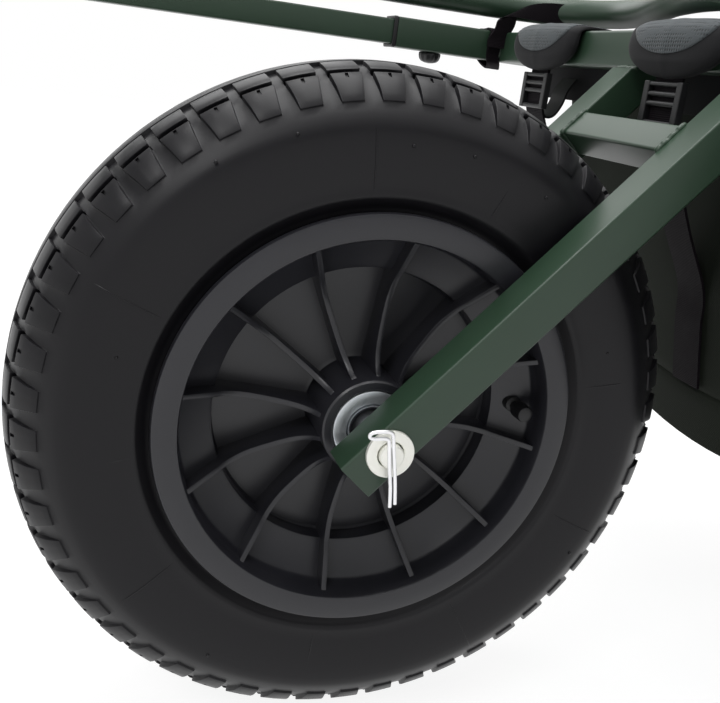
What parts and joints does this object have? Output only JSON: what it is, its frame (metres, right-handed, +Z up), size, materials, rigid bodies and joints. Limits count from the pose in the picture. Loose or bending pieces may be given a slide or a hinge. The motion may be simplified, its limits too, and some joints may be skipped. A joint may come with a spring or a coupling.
{
  "type": "fishing trolley",
  "caption": "Single-wheel fishing barrow: square-tube bed on an air-filled wheel in a welded fork, telescopic front, folding hoop, handles and legs, hanging bag.",
  "frame": {"origin": "on the ground, under the middle of the whole barrow's box", "axes": "+X towards the person who pushes, +Y towards that person's right, +Z up"},
  "size_m": [1.3912, 0.57, 0.7472],
  "materials": {
    "green_paint": "powder coat, satin, on welded steel tube",
    "steel": "plain turned steel",
    "zinc": "bright zinc plate",
    "tyre_rubber": "moulded black rubber with a satin sidewall",
    "tube_rubber": "matte butyl rubber",
    "rim_plastic": "moulded dark grey plastic, low sheen",
    "black_plastic": "moulded black plastic",
    "grip_foam": "closed-cell foam, matte",
    "olive_cloth": "coated woven nylon",
    "pad_cloth": "grey mesh face with black binding",
    "webbing": "ribbed flat webbing"
  },
  "bodies": {
    "frame": {"side_rail_left": "green_paint", "side_rail_right": "green_paint", "front_cross_rail": "green_paint", "middle_cross_rail": "green_paint", "rear_cross_rail": "green_paint", "fork_arm_left": "green_paint", "fork_arm_right": "green_paint", "fork_brace": "green_paint", "axle": "steel", "axle_washer": "zinc", "axle_sleeve": "steel", "split_pin": "zinc", "sleeve_bush_left": "black_plastic", "sleeve_bush_right": "black_plastic", "handle_bracket_left": "green_paint", "handle_bracket_right": "green_paint", "handle_bolt_left": "zinc", "handle_bolt_right": "zinc", "leg_bracket_left": "green_paint", "leg_bracket_right": "green_paint", "leg_pivot_rod": "zinc", "under_bag": "olive_cloth", "hanger_pad_middle": "pad_cloth", "hanger_pad_right": "pad_cloth", "hanger_webbing_middle": "webbing", "hanger_webbing_right": "webbing", "ladder_buckle_middle": "black_plastic", "ladder_buckle_right": "black_plastic", "rear_bag_strap": "webbing"},
    "wheel": {"tyre": "tyre_rubber", "inner_tube": "tube_rubber", "rim": "rim_plastic", "hub_bearing_left": "zinc", "hub_bearing_right": "zinc", "valve_cap": "black_plastic"},
    "front_extension": {"extension_tube_left": "green_paint", "extension_tube_right": "green_paint", "front_bar": "green_paint", "hoop_bracket_left": "green_paint", "hoop_bracket_right": "green_paint"},
    "hoop": {"front_hoop": "green_paint"},
    "front_knob_left": {"front_lock_knob_left": "black_plastic"},
    "front_knob_right": {"front_lock_knob_right": "black_plastic"},
    "handle_left": {"handle_sleeve_left": "green_paint"},
    "handle_right": {"handle_sleeve_right": "green_paint"},
    "handle_screw_left": {"handle_knob_left": "black_plastic"},
    "handle_screw_right": {"handle_knob_right": "black_plastic"},
    "grip_slide_left": {"handle_tube_left": "green_paint", "grip_left": "grip_foam"},
    "grip_slide_right": {"handle_tube_right": "green_paint", "grip_right": "grip_foam"},
    "legs": {"leg_left": "green_paint", "leg_right": "green_paint", "leg_brace": "green_paint"},
    "leg_screw_left": {"leg_knob_left": "black_plastic"},
    "leg_screw_right": {"leg_knob_right": "black_plastic"},
    "foot_slide_left": {"leg_tube_left": "green_paint", "mud_foot_left": "black_plastic"},
    "foot_slide_right": {"leg_tube_right": "green_paint", "mud_foot_right": "black_plastic"}
  },
  "joints": [
    {"name": "wheel_spin", "type": "hinge", "parent": "frame", "child": "wheel", "pos_m": [-0.43259, 0, 0.1775], "axis": [0, 1, 0], "continuous": true},
    {"name": "front_slide", "type": "slide", "parent": "frame", "child": "front_extension", "axis": [-1, 0, 0], "range_m": [-0.29, 0.12]},
    {"name": "hoop_hinge", "type": "hinge", "parent": "front_extension", "child": "hoop", "pos_m": [-0.68359, 0, 0.413], "axis": [0, -1, 0], "range_deg": [0, 105]},
    {"name": "front_knob_turn_left", "type": "hinge", "parent": "frame", "child": "front_knob_left", "pos_m": [-0.3206, -0.259, 0.371], "axis": [0, 0, 1], "range_deg": [0, 360]},
    {"name": "front_knob_turn_right", "type": "hinge", "parent": "frame", "child": "front_knob_right", "pos_m": [-0.3206, 0.259, 0.371], "axis": [0, 0, 1], "range_deg": [0, 360]},
    {"name": "handle_hinge_left", "type": "hinge", "parent": "frame", "child": "handle_left", "pos_m": [0.1804, -0.259, 0.4149], "axis": [0, -1, 0], "range_deg": [0, 140]},
    {"name": "handle_hinge_right", "type": "hinge", "parent": "frame", "child": "handle_right", "pos_m": [0.1804, 0.259, 0.4149], "axis": [0, -1, 0], "range_deg": [0, 140]},
    {"name": "handle_knob_turn_left", "type": "hinge", "parent": "handle_left", "child": "handle_screw_left", "pos_m": [0.44669, -0.27, 0.5813], "axis": [0, 1, 0], "range_deg": [0, 360]},
    {"name": "handle_knob_turn_right", "type": "hinge", "parent": "handle_right", "child": "handle_screw_right", "pos_m": [0.44669, 0.27, 0.5813], "axis": [0, 1, 0], "range_deg": [0, 360]},
    {"name": "grip_slide_left", "type": "slide", "parent": "handle_left", "child": "grip_slide_left", "axis": [0.848, 0, 0.5299], "range_m": [-0.1, 0.12]},
    {"name": "grip_slide_right", "type": "slide", "parent": "handle_right", "child": "grip_slide_right", "axis": [0.848, 0, 0.5299], "range_m": [-0.1, 0.12]},
    {"name": "leg_hinge", "type": "hinge", "parent": "frame", "child": "legs", "pos_m": [0.1704, 0, 0.35062], "axis": [0, -1, 0], "range_deg": [0, 94]},
    {"name": "leg_knob_turn_left", "type": "hinge", "parent": "legs", "child": "leg_screw_left", "pos_m": [0.15464, -0.27, 0.12517], "axis": [0, 1, 0], "range_deg": [0, 360]},
    {"name": "leg_knob_turn_right", "type": "hinge", "parent": "legs", "child": "leg_screw_right", "pos_m": [0.15464, 0.27, 0.12517], "axis": [0, 1, 0], "range_deg": [0, 360]},
    {"name": "foot_slide_left", "type": "slide", "parent": "legs", "child": "foot_slide_left", "axis": [-0.0698, 0, -0.9976], "range_m": [0, 0.12]},
    {"name": "foot_slide_right", "type": "slide", "parent": "legs", "child": "foot_slide_right", "axis": [-0.0698, 0, -0.9976], "range_m": [0, 0.12]}
  ]
}
